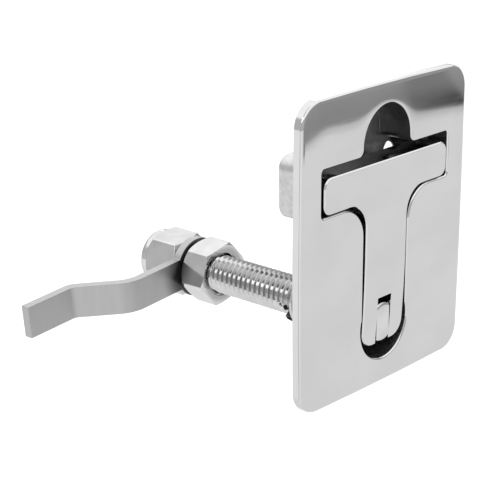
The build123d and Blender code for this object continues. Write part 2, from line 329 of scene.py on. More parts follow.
def shade_by(tree, shader, amount, dark, light, low=0.35, high=0.65):
    """Colour between two shades as the amount goes from low to high."""
    level = Sums(tree).ramp(amount, low, high)
    mix = add_node(
        tree, "ShaderNodeMix", {0: level, 6: (*dark, 1.0), 7: (*light, 1.0)}, data_type="RGBA"
    )
    tree.links.new(mix.outputs[2], shader.inputs["Base Color"])


def roughen_by(tree, shader, amount, smooth, rough):
    """Roughness that goes from smooth to rough with the amount."""
    level = Sums(tree).ramp(amount, 0.3, 0.7, smooth, rough)
    tree.links.new(level, shader.inputs["Roughness"])


def relief(tree, shader, layers):
    """Bumps one upon the other, each a height from 0 to 1 and its depth in metres."""
    normal = None
    for height, depth in layers:
        inputs = {"Height": height, "Distance": depth, "Strength": 1.0}
        if normal is not None:
            inputs["Normal"] = normal
        normal = add_node(tree, "ShaderNodeBump", inputs).outputs[0]
    tree.links.new(normal, shader.inputs["Normal"])


def darker(base, factor):
    """The same colour at a share of its brightness."""
    return tuple(channel * factor for channel in base)


def place_parts(tree):
    """The three numbers of a place on the piece itself."""
    place = add_node(tree, "ShaderNodeTexCoord").outputs["Object"]
    return add_node(tree, "ShaderNodeSeparateXYZ", {0: place}).outputs


# The finger notch, a slot with round ends: the heights between which its middle line runs,
# its radius, and how far from its rim the hollow in the plate reaches
NOTCH_LOW = 40.0 * MM
NOTCH_HIGH = 53.7 * MM
NOTCH_RADIUS = 10.75 * MM
NOTCH_REACH = 2.2 * MM


def hollow_round_notch(tree):
    """Height that falls towards the finger notch, 0 far away and -1 at its rim."""
    sums = Sums(tree)
    parts = place_parts(tree)
    middle = sums.limit(parts["Z"], NOTCH_LOW, NOTCH_HIGH)
    rise = sums.do("SUBTRACT", parts["Z"], middle)
    off_rim = sums.do("SUBTRACT", sums.distance(parts["X"], rise), NOTCH_RADIUS)
    fall = sums.do("EXPONENT", sums.do("DIVIDE", off_rim, -NOTCH_REACH))
    return sums.do("MULTIPLY", fall, -1.0)


def polished_steel(name, base, roughness, notch_hollow=0.0):
    """Buffed casting: faint clouds, slight waves and fine lines, and sunk at the notch."""
    material, tree, shader = new_material(name, base, 1.0, roughness)
    clouds = pattern(tree, 45.0, stretch=(1.0, 1.0, 1.6), detail=3.0)
    buffing = pattern(tree, 900.0, stretch=(0.12, 1.0, 1.6), turn=(0.0, radians(6.0), 0.0))
    shade_by(tree, shader, clouds, darker(base, 0.975), darker(base, 1.02))
    roughen_by(tree, shader, buffing, roughness * 0.8, roughness * 1.3)
    waves = pattern(tree, 28.0, detail=0.0)
    layers = [(waves, 0.012 * MM)]
    if notch_hollow:
        layers.insert(0, (hollow_round_notch(tree), notch_hollow))
    relief(tree, shader, layers)
    return material


def cast_skin(name, base, roughness, grain_depth):
    """Unpolished casting: a grainy skin with darker hollows."""
    material, tree, shader = new_material(name, base, 1.0, roughness)
    lumps = pattern(tree, 420.0, detail=5.0)
    grain = pattern(tree, 1500.0)
    shade_by(tree, shader, lumps, darker(base, 0.86), darker(base, 1.08), 0.25, 0.75)
    roughen_by(tree, shader, grain, roughness * 0.85, min(1.0, roughness * 1.2))
    relief(tree, shader, ((lumps, grain_depth), (grain, grain_depth * 0.35)))
    return material


def machined_steel(name, base, roughness, marks):
    """Turned or drawn steel: tool marks that run along the axes where marks is small."""
    material, tree, shader = new_material(name, base, 1.0, roughness)
    lines = pattern(tree, 1400.0, stretch=marks, detail=1.0)
    stains = pattern(tree, 160.0, detail=3.0)
    shade_by(tree, shader, stains, darker(base, 0.93), darker(base, 1.05))
    roughen_by(tree, shader, lines, roughness * 0.75, roughness * 1.3)
    relief(tree, shader, ((lines, 0.0016 * MM),))
    return material


def satin_steel(name, base, roughness):
    """Rolled bar with a dull skin and faint marks across it."""
    material, tree, shader = new_material(name, base, 1.0, roughness)
    across = pattern(tree, 420.0, stretch=(1.0, 1.0, 0.3), detail=3.0)
    grain = pattern(tree, 2600.0, stretch=(1.0, 1.0, 0.7), detail=1.0)
    shade_by(tree, shader, across, darker(base, 0.95), darker(base, 1.04), 0.3, 0.7)
    roughen_by(tree, shader, across, roughness * 0.9, roughness * 1.1)
    relief(tree, shader, ((across, 0.002 * MM), (grain, 0.002 * MM)))
    return material


def grained(name, base, roughness, grain_depth, metallic=0.0):
    """Rubber, plastic or a black coating with a fine matt grain."""
    material, tree, shader = new_material(name, base, metallic, roughness)
    shader.inputs["Specular IOR Level"].default_value = 0.4
    grain = pattern(tree, 900.0, detail=3.0)
    shade_by(tree, shader, grain, darker(base, 0.85), darker(base, 1.12))
    roughen_by(tree, shader, grain, roughness * 0.85, min(1.0, roughness * 1.15))
    relief(tree, shader, ((grain, grain_depth),))
    return material


def show(mesh, name):
    """Object at the origin that holds the mesh."""
    piece = bpy.data.objects.new(name, mesh)
    bpy.context.scene.collection.objects.link(piece)
    return piece


def closed_copy(node):
    """The frame's triangles of one node, joined up, with its flat faces made whole."""
    shape = bmesh.new()
    shape.from_mesh(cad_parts[node].data)
    bmesh.ops.remove_doubles(shape, verts=shape.verts, dist=0.002 * MM)
    bmesh.ops.dissolve_limit(
        shape, angle_limit=radians(0.5), verts=shape.verts, edges=shape.edges
    )
    return shape


def rim_of(shape):
    """The edges that have a face on one side only."""
    return [edge for edge in shape.edges if len(edge.link_faces) == 1]


def piece_from(shape, name, materials):
    """Smooth object made from the shape, with its materials."""
    mesh = bpy.data.meshes.new(name)
    for face in shape.faces:
        face.smooth = True
    shape.to_mesh(mesh)
    shape.free()
    for material in materials:
        mesh.materials.append(material)
    return show(mesh, name)


def soften(piece, width, segments=3):
    """Rounds the sharp edges and keeps the flat faces flat."""
    bevel = piece.modifiers.new("edges", "BEVEL")
    bevel.width = width
    bevel.segments = segments
    bevel.limit_method = "ANGLE"
    bevel.angle_limit = radians(28.0)
    bevel.use_clamp_overlap = False
    bevel.miter_outer = "MITER_ARC"
    bevel.face_strength_mode = "FSTR_ALL"
    weighting = piece.modifiers.new("flats", "WEIGHTED_NORMAL")
    weighting.weight = 60
    weighting.keep_sharp = False
    weighting.use_face_influence = True


def settle(piece, body, slot, *nodes):
    """Puts the piece on its body in place of the frame's nodes."""
    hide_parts(*nodes)
    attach(piece, body)


def new_tree(name, numbers, whole_numbers):
    """Geometry tree with a geometry, its sizes and a material as named inputs."""
    tree = bpy.data.node_groups.new(name, "GeometryNodeTree")
    tree.is_modifier = True
    sockets = tree.interface
    sockets.new_socket("Geometry", in_out="INPUT", socket_type="NodeSocketGeometry")
    for label in numbers:
        sockets.new_socket(label, in_out="INPUT", socket_type="NodeSocketFloat")
    for label in whole_numbers:
        sockets.new_socket(label, in_out="INPUT", socket_type="NodeSocketInt")
    sockets.new_socket("Material", in_out="INPUT", socket_type="NodeSocketMaterial")
    sockets.new_socket("Geometry", in_out="OUTPUT", socket_type="NodeSocketGeometry")
    return tree, add_node(tree, "NodeGroupInput").outputs


def sheet_of_points(tree, around, across):
    """Grid of points with their place numbers round and across it."""
    sums = Sums(tree)
    grid = add_node(tree, "GeometryNodeMeshGrid", {"Vertices X": around, "Vertices Y": across})
    index = add_node(tree, "GeometryNodeInputIndex").outputs[0]
    column = sums.do("FLOOR", sums.do("DIVIDE", sums.do("ADD", index, 0.5), across))
    row = sums.do("SUBTRACT", index, sums.do("MULTIPLY", column, across))
    return grid.outputs["Mesh"], column, row


def turned_place(tree, radius, turn, depth):
    """Place at a radius and a turn about the spindle, counted from straight up."""
    sums = Sums(tree)
    place = add_node(
        tree,
        "ShaderNodeCombineXYZ",
        {
            "X": sums.do("MULTIPLY", radius, sums.do("SINE", turn)),
            "Y": depth,
            "Z": sums.do("MULTIPLY", radius, sums.do("COSINE", turn)),
        },
    )
    return place.outputs[0]


# Points closer than this are joined
SEAM_DISTANCE = 0.001 * MM


def finish_tree(tree, mesh, place, material):
    """Moves the points, joins the seams, and ends with plain geometry and its material."""
    moved = add_node(tree, "GeometryNodeSetPosition", {"Geometry": mesh, "Position": place})
    joined = add_node(
        tree,
        "GeometryNodeMergeByDistance",
        {"Geometry": moved.outputs[0], "Distance": SEAM_DISTANCE},
    )
    smooth = add_node(tree, "GeometryNodeSetShadeSmooth", {"Geometry": joined.outputs[0]})
    real = add_node(tree, "GeometryNodeRealizeInstances", {"Geometry": smooth.outputs[0]})
    dressed = add_node(
        tree, "GeometryNodeSetMaterial", {"Geometry": real.outputs[0], "Material": material}
    )
    add_node(tree, "NodeGroupOutput", {0: dressed.outputs[0]})


# Profile of a tooth of the thread, in shares of half a pitch from the middle of its crest
FLANK_FOOT = 0.92
FLANK_WIDTH = 0.91
CREST_BLEND = 0.02
ROOT_BLEND = 0.08


def thread_tree():
    """Tree that winds a thread: a strip one tooth wide that runs round and along."""
    tree, sizes = new_tree(
        "Thread",
        ("Start", "End", "Pitch", "Crest Radius", "Root Radius", "Tip Chamfer", "Run-in"),
        ("Steps a Turn", "Steps a Tooth"),
    )
    sums = Sums(tree)
    turns = sums.do("DIVIDE", sums.do("SUBTRACT", sizes["End"], sizes["Start"]), sizes["Pitch"])
    whole_turns = sums.do("ADD", sums.do("CEIL", turns), 1.0)
    columns = sums.do("MULTIPLY", whole_turns, sizes["Steps a Turn"])
    rows = sums.do("ADD", sizes["Steps a Tooth"], 1.0)
    mesh, column, row = sheet_of_points(tree, sums.do("ADD", columns, 1.0), rows)
    turn = sums.do("SUBTRACT", sums.do("DIVIDE", column, sizes["Steps a Turn"]), 1.0)
    along = sums.do("ADD", turn, sums.do("DIVIDE", row, sizes["Steps a Tooth"]))
    kept = sums.limit(along, 0.0, turns)
    in_tooth = sums.do("WRAP", sums.do("SUBTRACT", kept, turn), 1.0, 0.0)
    from_middle = sums.do("ABSOLUTE", sums.do("SUBTRACT", in_tooth, 0.5))
    off_crest = sums.do("MULTIPLY", from_middle, 2.0)
    flank = sums.do("DIVIDE", sums.do("SUBTRACT", FLANK_FOOT, off_crest), FLANK_WIDTH)
    blunt = sums.do("SMOOTH_MIN", flank, 1.0, CREST_BLEND)
    rounded = sums.do("SMOOTH_MAX", blunt, 0.0, ROOT_BLEND)
    run_in = sums.ramp(kept, 0.0, sizes["Run-in"])
    tall = sums.do("MULTIPLY", rounded, run_in)
    depth = sums.do("MULTIPLY_ADD", kept, sizes["Pitch"], sizes["Start"])
    tooth = sums.do("SUBTRACT", sizes["Crest Radius"], sizes["Root Radius"])
    radius = sums.do("MULTIPLY_ADD", tall, tooth, sizes["Root Radius"])
    to_end = sums.do("SUBTRACT", sizes["End"], depth)
    tip_radius = sums.do("SUBTRACT", sizes["Crest Radius"], sizes["Tip Chamfer"])
    radius = sums.do("MINIMUM", radius, sums.do("ADD", to_end, tip_radius))
    place = turned_place(tree, radius, sums.do("MULTIPLY", turn, 2 * pi), depth)
    finish_tree(tree, mesh, place, sizes["Material"])
    return tree


def nut_tree():
    """Tree that spins a section, radius by depth, and trims it to a hexagon."""
    tree, sizes = new_tree(
        "Turned hexagon", ("Across Flats", "Corner Angle", "Softness"), ("Steps Around",)
    )
    sums = Sums(tree)
    count = add_node(tree, "GeometryNodeAttributeDomainSize", {"Geometry": sizes["Geometry"]})
    points = count.outputs["Point Count"]
    rows = sums.do("ADD", points, 1.0)
    mesh, column, row = sheet_of_points(tree, sums.do("ADD", sizes["Steps Around"], 1.0), rows)
    section = add_node(
        tree,
        "GeometryNodeSampleIndex",
        {
            "Geometry": sizes["Geometry"],
            "Value": add_node(tree, "GeometryNodeInputPosition").outputs[0],
            "Index": sums.do("MODULO", sums.do("ROUND", row), points),
        },
        data_type="FLOAT_VECTOR",
    )
    parts = add_node(tree, "ShaderNodeSeparateXYZ", {0: section.outputs[0]}).outputs
    spin = sums.do("DIVIDE", sums.do("MULTIPLY", column, 2 * pi), sizes["Steps Around"])
    turn = sums.do("ADD", spin, sums.do("SUBTRACT", pi / 2, sizes["Corner Angle"]))
    from_flat = sums.do("SUBTRACT", sums.do("WRAP", spin, pi / 3, 0.0), pi / 6)
    half_width = sums.do("MULTIPLY", sizes["Across Flats"], 0.5)
    flat = sums.do("DIVIDE", half_width, sums.do("COSINE", from_flat))
    radius = sums.do("SMOOTH_MIN", parts["X"], flat, sizes["Softness"])
    place = turned_place(tree, radius, turn, parts["Y"])
    finish_tree(tree, mesh, place, sizes["Material"])
    return tree


def grown(tree, name, base, values):
    """Plain closed mesh that the tree makes from the base mesh and the named values."""
    source = show(base, name + "_source")
    modifier = source.modifiers.new("tree", "NODES")
    modifier.node_group = tree
    for item in tree.interface.items_tree:
        if item.in_out == "INPUT" and item.name in values:
            modifier[item.identifier] = values[item.name]
    source.update_tag()
    graph = bpy.context.evaluated_depsgraph_get()
    mesh = bpy.data.meshes.new_from_object(source.evaluated_get(graph), depsgraph=graph)
    source.modifiers.remove(modifier)
    bpy.data.objects.remove(source)
    shape = bmesh.new()
    shape.from_mesh(mesh)
    loose = rim_of(shape)
    if loose:
        bmesh.ops.holes_fill(shape, edges=loose)
    bmesh.ops.recalc_face_normals(shape, faces=shape.faces)
    shape.to_mesh(mesh)
    shape.free()
    mesh.set_sharp_from_angle(angle=radians(50.0))
    mesh.name = name
    return mesh


# How far a section's corners are cut back, though a third of a run at most, the steps of
# the curve there, and the longest step between the corners
CORNER_EASE = 0.16 * MM
CORNER_STEPS = 5
SECTION_STEP = 0.3 * MM


def eased_section(corners):
    """Closed section with a small curve at each corner and its runs divided."""
    count = len(corners)
    points = []
    for i, corner in enumerate(corners):
        here = Vector(corner)
        before = Vector(corners[i - 1])
        after = Vector(corners[(i + 1) % count])
        back = (before - here).normalized() * min(CORNER_EASE, (before - here).length / 3)
        ahead = (after - here).normalized() * min(CORNER_EASE, (after - here).length / 3)
        for k in range(CORNER_STEPS + 1):
            t = k / CORNER_STEPS
            points.append(here + back * (1 - t) ** 2 + ahead * t**2)
    divided = []
    for i, point in enumerate(points):
        following = points[(i + 1) % len(points)]
        pieces = max(1, ceil((following - point).length / SECTION_STEP))
        for k in range(pieces):
            divided.append(point.lerp(following, k / pieces))
    return divided


def section_mesh(name, corners):
    """Mesh of loose points that holds a section, radius in x and depth in y."""
    mesh = bpy.data.meshes.new(name)
    mesh.from_pydata([(point.x, point.y, 0.0) for point in eased_section(corners)], [], [])
    return mesh


# What tells the casting's faces apart: their distance from the plate's back and from the
# T-handle's box, and how far off a face a line to the front starts
LEVEL_MARGIN = 0.1 * MM
LIP_DEPTH = 2.55 * MM
POCKET_SIDE_MARGIN = 2 * MM
POCKET_TOP_MARGIN = 20 * MM
RAY_LIFT = 0.05 * MM

# The casting's materials by their number
POLISHED, POCKET, BLASTED, RIM_BACK = range(4)


def seen_from_front(face, tree):
    """True for a face behind the opening's lip that nothing covers from the front."""
    centre = face.calc_center_median()
    start = centre + face.normal * RAY_LIFT
    behind_lip = centre.y > -LIP_DEPTH
    clear = tree.ray_cast(start, Vector((0.0, -1.0, 0.0)))[0] is None
    return behind_lip and clear


def mark_casting(shape):
    """Gives the back of the rim, the pocket and the back of the casting their materials."""
    low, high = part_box("t_handle")
    left, right = low.x - POCKET_SIDE_MARGIN, high.x + POCKET_SIDE_MARGIN
    top = high.z + POCKET_TOP_MARGIN
    tree = BVHTree.FromBMesh(shape)
    for face in shape.faces:
        centre = face.calc_center_median()
        within = left < centre.x < right and centre.z < top
        if abs(centre.y) < LEVEL_MARGIN and face.normal.y > 0.5:
            face.material_index = RIM_BACK
        elif within and seen_from_front(face, tree):
            face.material_index = POCKET
        elif centre.y > LEVEL_MARGIN:
            face.material_index = BLASTED
        else:
            face.material_index = POLISHED


class CastBody(Operator):
    """Polished plate with a dark pocket, a blasted back and a dull back of its rim"""

    bl_idname = "latch.cast_body"
    bl_label = "Cast body"

    def execute(self, context):
        sizes = context.scene.latch_casting
        shape = closed_copy("flush_body")
        mark_casting(shape)
        materials = {
            POLISHED: polished_steel(
                "polished_plate",
                tuple(sizes.polish_colour),
                sizes.polish_roughness,
                sizes.notch_hollow,
            ),
            POCKET: cast_skin(
                "pocket_skin",
                tuple(sizes.pocket_colour),
                roughness=0.42,
                grain_depth=0.012 * MM,
            ),
            BLASTED: cast_skin(
                "blasted_back", tuple(sizes.back_colour), roughness=0.34, grain_depth=0.01 * MM
            ),
            RIM_BACK: cast_skin(
                "rim_back", tuple(sizes.rim_colour), roughness=0.4, grain_depth=0.01 * MM
            ),
        }
        piece = piece_from(shape, "cast_body", materials.values())
        soften(piece, sizes.body_edge)
        settle(piece, "housing", "body_steel", "flush_body")
        return {"FINISHED"}


class THandle(Operator):
    """Folding T-handle, polished all over"""

    bl_idname = "latch.t_handle"
    bl_label = "T-handle"

    def execute(self, context):
        sizes = context.scene.latch_casting
        material = polished_steel(
            "polished_handle", tuple(sizes.polish_colour), sizes.polish_roughness
        )
        piece = piece_from(closed_copy("t_handle"), "folding_handle", (material,))
        soften(piece, sizes.handle_edge)
        settle(piece, "handle", "handle_steel", "t_handle")
        return {"FINISHED"}


class Spindle(Operator):
    """Spindle with a tongue, a plain shank and a thread"""

    bl_idname = "latch.spindle"
    bl_label = "Spindle"

    def execute(self, context):
        sizes = context.scene.latch_spindle
        steel = machined_steel(
            "machined_spindle", tuple(sizes.steel), sizes.roughness, marks=(0.15, 1.0, 0.15)
        )
        shape = closed_copy("spindle")
        bmesh.ops.bisect_plane(
            shape,
            geom=shape.verts[:] + shape.edges[:] + shape.faces[:],
            plane_co=(0.0, sizes.thread_start, 0.0),
            plane_no=(0.0, 1.0, 0.0),
            clear_outer=True,
        )
        bmesh.ops.contextual_create(shape, geom=rim_of(shape))
        shank = piece_from(shape, "spindle_shank", (steel,))
        soften(shank, sizes.shank_edge, segments=2)
        settle(shank, "housing", "spindle_steel", "spindle")
        values = {
            "Start": sizes.thread_start - sizes.overlap,
            "End": spindle_end,
            "Pitch": sizes.pitch,
            "Crest Radius": sizes.crest_radius,
            "Root Radius": sizes.root_radius,
            "Tip Chamfer": sizes.tip_chamfer,
            "Run-in": sizes.run_in,
            "Steps a Turn": sizes.steps_a_turn,
            "Steps a Tooth": sizes.steps_a_tooth,
            "Material": steel,
        }
        empty = bpy.data.meshes.new("thread_base")
        thread = show(grown(thread_tree(), "spindle_thread", empty, values), "spindle_thread")
        settle(thread, "housing", "spindle_steel", "spindle")
        return {"FINISHED"}


# Slopes of the nuts' chamfers, and the steps of the collar's rounded end
FACE_CHAMFER = radians(30.0)
REAR_CHAMFER = radians(42.0)
COLLAR_CHAMFER = radians(45.0)
CROWN_STEPS = 5


def clamp_nut_section(sizes):
    """Radius and depth of each corner of the clamp nut's section."""
    corner = sizes.across_corners / 2
    front_bevel = (corner - sizes.clamp_face) * tan(FACE_CHAMFER)
    rear_bevel = (corner - sizes.clamp_seat) * tan(REAR_CHAMFER)
    start, end = clamp_nut_start, clamp_nut_end
    return (
        (sizes.bore_radius + sizes.front_mouth, start),
        (sizes.clamp_face, start),
        (corner, start + front_bevel),
        (corner, end - rear_bevel),
        (sizes.clamp_seat, end),
        (sizes.bore_radius + sizes.mouth, end),
        (sizes.bore_radius, end - sizes.mouth),
        (sizes.bore_radius, start + sizes.front_mouth),
    )


def lock_nut_section(sizes):
    """Radius and depth of each corner of the lock nut's section."""
    corner = sizes.across_corners / 2
    front_bevel = (corner - sizes.lock_seat) * tan(FACE_CHAMFER)
    rear_bevel = (corner - sizes.collar_radius) * tan(COLLAR_CHAMFER)
    start, end = lock_nut_start, lock_nut_end
    collar_start = end - sizes.collar_length
    seat_end = end - sizes.insert_setback
    seat_start = seat_end - sizes.insert_height
    crown = []
    for k in range(CROWN_STEPS + 1):
        turn = pi / 2 * k / CROWN_STEPS
        radius = sizes.collar_radius - sizes.crown * (1 - cos(turn))
        crown.append((radius, end - sizes.crown * (1 - sin(turn))))
    return (
        (sizes.bore_radius + sizes.mouth, start),
        (sizes.lock_seat, start),
        (corner, start + front_bevel),
        (corner, collar_start - rear_bevel),
        (sizes.collar_radius, collar_start),
        *crown,
        (sizes.bore_radius, end),
        (sizes.bore_radius, seat_end),
        (sizes.insert_radius, seat_end),
        (sizes.insert_radius, seat_start),
        (sizes.bore_radius, seat_start),
        (sizes.bore_radius, start + sizes.mouth),
    )


# How far behind a face its darkening is full, and how far it then takes to fade
FACE_DARKENING_DEPTH = 0.1 * MM

# The clamp nut's front: the share of its face's radius that is fully dull, the share of
# its chamfer's width out to which the nuts' bores get painted shade, and how far that shade takes
# to fade
DULL_FACE = 0.8
SHADED_MOUTH = 0.7
MOUTH_SHADE_FADE = 0.5 * MM


def darken_round_axis(material, dark, inner, outer, face=None):
    """Darker colour that fades out from one radius to another, on one face or all along the axis;
    it makes the clamp nut's dull face, and painted shade in the nuts' bores and on the arm round
    the clamp nut.
    """
    tree = material.node_tree
    sums = Sums(tree)
    parts = place_parts(tree)
    darkening = sums.ramp(sums.distance(parts["X"], parts["Z"]), inner, outer, 1.0, 0.0)
    if face is not None:
        depth = face + FACE_DARKENING_DEPTH
        on_face = sums.ramp(parts["Y"], depth, depth + FACE_DARKENING_DEPTH, 1.0, 0.0)
        darkening = sums.do("MULTIPLY", darkening, on_face)
    base = tree.nodes["Principled BSDF"].inputs["Base Color"]
    colour_before = base.links[0].from_socket
    mix = add_node(
        tree, "ShaderNodeMix", {0: darkening, 6: colour_before, 7: (*dark, 1.0)}, data_type="RGBA"
    )
    tree.links.new(mix.outputs[2], base)


class Nuts(Operator):
    """Clamp nut in front of the arm and lock nut with a collar behind it"""

    bl_idname = "latch.nuts"
    bl_label = "Nuts"

    def execute(self, context):
        sizes = context.scene.latch_nuts
        steel = machined_steel(
            "polished_nuts", tuple(sizes.steel), sizes.roughness, marks=(0.5, 0.3, 1.0)
        )
        darken_round_axis(
            steel,
            tuple(sizes.face_colour),
            DULL_FACE * sizes.clamp_face,
            sizes.clamp_face,
            clamp_nut_start,
        )
        # Painted shade in the bores of both nuts
        shaded = sizes.bore_radius + SHADED_MOUTH * sizes.front_mouth
        darken_round_axis(steel, tuple(sizes.bore_painted_shade), shaded - MOUTH_SHADE_FADE, shaded)
        tree = nut_tree()
        plans = (
            ("clamp_nut", clamp_nut_section(sizes), sizes.clamp_nut_angle),
            ("lock_nut", lock_nut_section(sizes), sizes.lock_nut_angle),
        )
        for node, corners, turn in plans:
            values = {
                "Across Flats": sizes.across_flats,
                "Corner Angle": turn,
                "Softness": sizes.edge_softness,
                "Steps Around": sizes.steps_around,
                "Material": steel,
            }
            name = "dressed_" + node
            section = section_mesh(node + "_section", corners)
            piece = show(grown(tree, name, section, values), name)
            settle(piece, "nuts", "nut_steel", node)
        return {"FINISHED"}


class CamArm(Operator):
    """Cranked flat bar with a satin skin, and painted shade round the clamp nut"""

    bl_idname = "latch.cam_arm"
    bl_label = "Cam arm"

    def execute(self, context):
        sizes = context.scene.latch_arm
        material = satin_steel("satin_arm", tuple(sizes.steel), sizes.roughness)
        # Painted shade on the arm's face round the clamp nut
        darken_round_axis(
            material, tuple(sizes.darkening), sizes.painted_shade_inner, sizes.painted_shade_outer, clamp_nut_end
        )
        piece = piece_from(closed_copy("cam_arm"), "cranked_arm", (material,))
        soften(piece, sizes.edge)
        settle(piece, "cam", "arm_steel", "cam_arm")
        return {"FINISHED"}


class SmallPieces(Operator):
    """Pins, bush, seals, springs, washer and locking ring"""

    bl_idname = "latch.small_pieces"
    bl_label = "Small pieces"

    def execute(self, context):
        colours = context.scene.latch_small_pieces
        spring = machined_steel(
            "spring_steel", tuple(colours.spring_steel), roughness=0.26, marks=(1.0, 0.2, 1.0)
        )
        pivot = machined_steel(
            "pin_steel", tuple(colours.pivot_steel), roughness=0.2, marks=(0.2, 1.0, 1.0)
        )
        black = grained(
            "black_oxide",
            tuple(colours.pin_black),
            roughness=0.32,
            grain_depth=0.002 * MM,
            metallic=0.8,
        )
        rubber = grained(
            "seal_rubber", tuple(colours.rubber), roughness=0.6, grain_depth=0.006 * MM
        )
        bush = grained(
            "bush_plastic", tuple(colours.bush_plastic), roughness=0.4, grain_depth=0.004 * MM
        )
        nylon = grained(
            "locking_nylon", tuple(colours.nylon), roughness=0.42, grain_depth=0.004 * MM
        )
        finishes = {
            "pivot_pin": pivot,
            "spindle_bush": bush,
            "front_seal": rubber,
            "rear_seal": rubber,
            "front_spring_washer": spring,
            "rear_spring_washer": spring,
            "thrust_washer": spring,
            "retaining_pin": black,
            "lock_insert": nylon,
        }
        for node, material in finishes.items():
            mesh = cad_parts[node].data
            mesh.materials.clear()
            mesh.materials.append(material)
        return {"FINISHED"}


# Directions in the room that polished faces mirror
UP = (0.0, 0.0, 1.0)
LEFT = (-1.0, 0.0, 0.0)
BACKWARD = (0.0, 1.0, 0.0)
BACK_RIGHT = (0.707, 0.707, 0.0)
ALONG_WALL = (0.602, 0.799, 0.0)
SCREEN_EDGE = (0.602, 0.799, 0.77)

# Zones of that room. Each pair says from where to where one shade goes over into the next,
# as the dot product of the way that is looked and one of the directions above.
# The floor and what stands on it, by height over the floor's edge, which tilts and bends
FLOOR_TILT = 0.18
TILTED_HALF = 0.06
EDGE_SINKS, EDGE_SINK = (-0.3, 0.0), -0.08
EDGE_BENDS, EDGE_BEND = (-0.06, -0.03), 0.0133
FLOOR_DARKENS = (-0.2425, -0.236)
FLOOR_ENDS = (-0.2362, -0.234)
WALL_RISES = (-0.235, -0.205)
SCREEN_RISES = (-0.232, -0.217)
# The screen, by its sides
SCREEN_NEAR_SIDE = (0.008, 0.022)
SCREEN_FAR_SIDE = (-0.117, -0.109)
SCREEN_FOOT_TURN, SCREEN_FOOT_START = (0.02, 0.06), 0.2
# The walls and the lights, by turn and by height
SIDE_WALL_TURN = (0.1, 0.3)
WALL_TOP = (0.4, 0.56)
LOW_WALL_TOP = (0.1, 0.25)
LOW_WALL_TURN = (0.4, 0.75)
ABOVE_FLOOR = (-0.2, -0.1)
WINDOW_TURN = (0.3, 0.65)
CEILING_RISE = (0.2, 0.6)
BACK_GLOW_TURN = (0.75, 0.95)
# What stands straight to the left
LEFT_LAMP_RISE = (0.34, 0.38)
LEFT_CEILING_RISE = (0.66, 0.7)
LEFT_TOP_RISE = (0.88, 0.95)
LEFT_CENTRE, LEFT_WIDTH = 0.1, (0.1, 0.17)
LEFT_TURN = (-0.1, 0.05)
LEFT_FOOT = (-0.76, -0.68)


def wall_shades(sums, way, settings):
    """Shade of the wall by direction, its place, and how white the floor is before it."""
    rise = sums.dot(way, UP)
    leftward = sums.dot(way, LEFT)
    sideways = sums.limit(sums.dot(way, ALONG_WALL), -TILTED_HALF, TILTED_HALF)
    on_left = sums.ramp(leftward, *EDGE_SINKS, 0.0, EDGE_SINK)
    bend = sums.ramp(sideways, *EDGE_BENDS, EDGE_BEND, 0.0)
    shift = sums.do("ADD", on_left, bend)
    above_floor = sums.do("MULTIPLY_ADD", sideways, -FLOOR_TILT, sums.do("ADD", rise, shift))
    wall = sums.ramp(above_floor, *WALL_RISES, settings.wall_foot, settings.wall_shade)
    screen_foot = sums.ramp(
        sideways, *SCREEN_FOOT_TURN, SCREEN_FOOT_START, settings.screen_foot
    )
    screen = sums.ramp(above_floor, *SCREEN_RISES, screen_foot, settings.screen_shade)
    near_side = sums.ramp(sideways, *SCREEN_NEAR_SIDE)
    far_side = sums.ramp(sums.dot(way, SCREEN_EDGE), *SCREEN_FAR_SIDE, 1.0, 0.0)
    shade = sums.blend(sums.do("MULTIPLY", near_side, far_side), wall, screen)
    shade = sums.blend(sums.ramp(leftward, *SIDE_WALL_TURN), shade, settings.side_shade)
    foot = sums.ramp(above_floor, *FLOOR_ENDS)
    tall = sums.ramp(rise, *WALL_TOP, 1.0, 0.0)
    low = sums.ramp(rise, *LOW_WALL_TOP, 1.0, 0.0)
    top = sums.blend(sums.ramp(sums.dot(way, BACK_RIGHT), *LOW_WALL_TURN), tall, low)
    floor_shade = sums.ramp(above_floor, *FLOOR_DARKENS, 1.0, settings.floor_edge)
    floor_shade = sums.blend(sums.ramp(rise, *ABOVE_FLOOR), floor_shade, 1.0)
    return shade, sums.do("MULTIPLY", foot, top), floor_shade


def left_side(sums, way, settings):
    """Shade straight to the left, a wall, a long lamp and a dim ceiling, and where it counts."""
    rise = sums.dot(way, UP)
    backward = sums.dot(way, BACKWARD)
    off_centre = sums.do("ABSOLUTE", sums.do("SUBTRACT", backward, LEFT_CENTRE))
    leftward = sums.dot(way, LEFT)
    lamp_place = sums.ramp(rise, *LEFT_LAMP_RISE)
    shade = sums.blend(lamp_place, settings.left_wall, settings.left_lamp)
    shade = sums.blend(sums.ramp(rise, *LEFT_CEILING_RISE), shade, settings.left_ceiling)
    shade = sums.blend(sums.ramp(rise, *LEFT_TOP_RISE), shade, settings.side_shade)
    near_centre = sums.ramp(off_centre, *LEFT_WIDTH, 1.0, 0.0)
    inside = sums.do("MULTIPLY", near_centre, sums.ramp(leftward, *LEFT_TURN))
    return shade, sums.do("MULTIPLY", inside, sums.ramp(rise, *LEFT_FOOT))


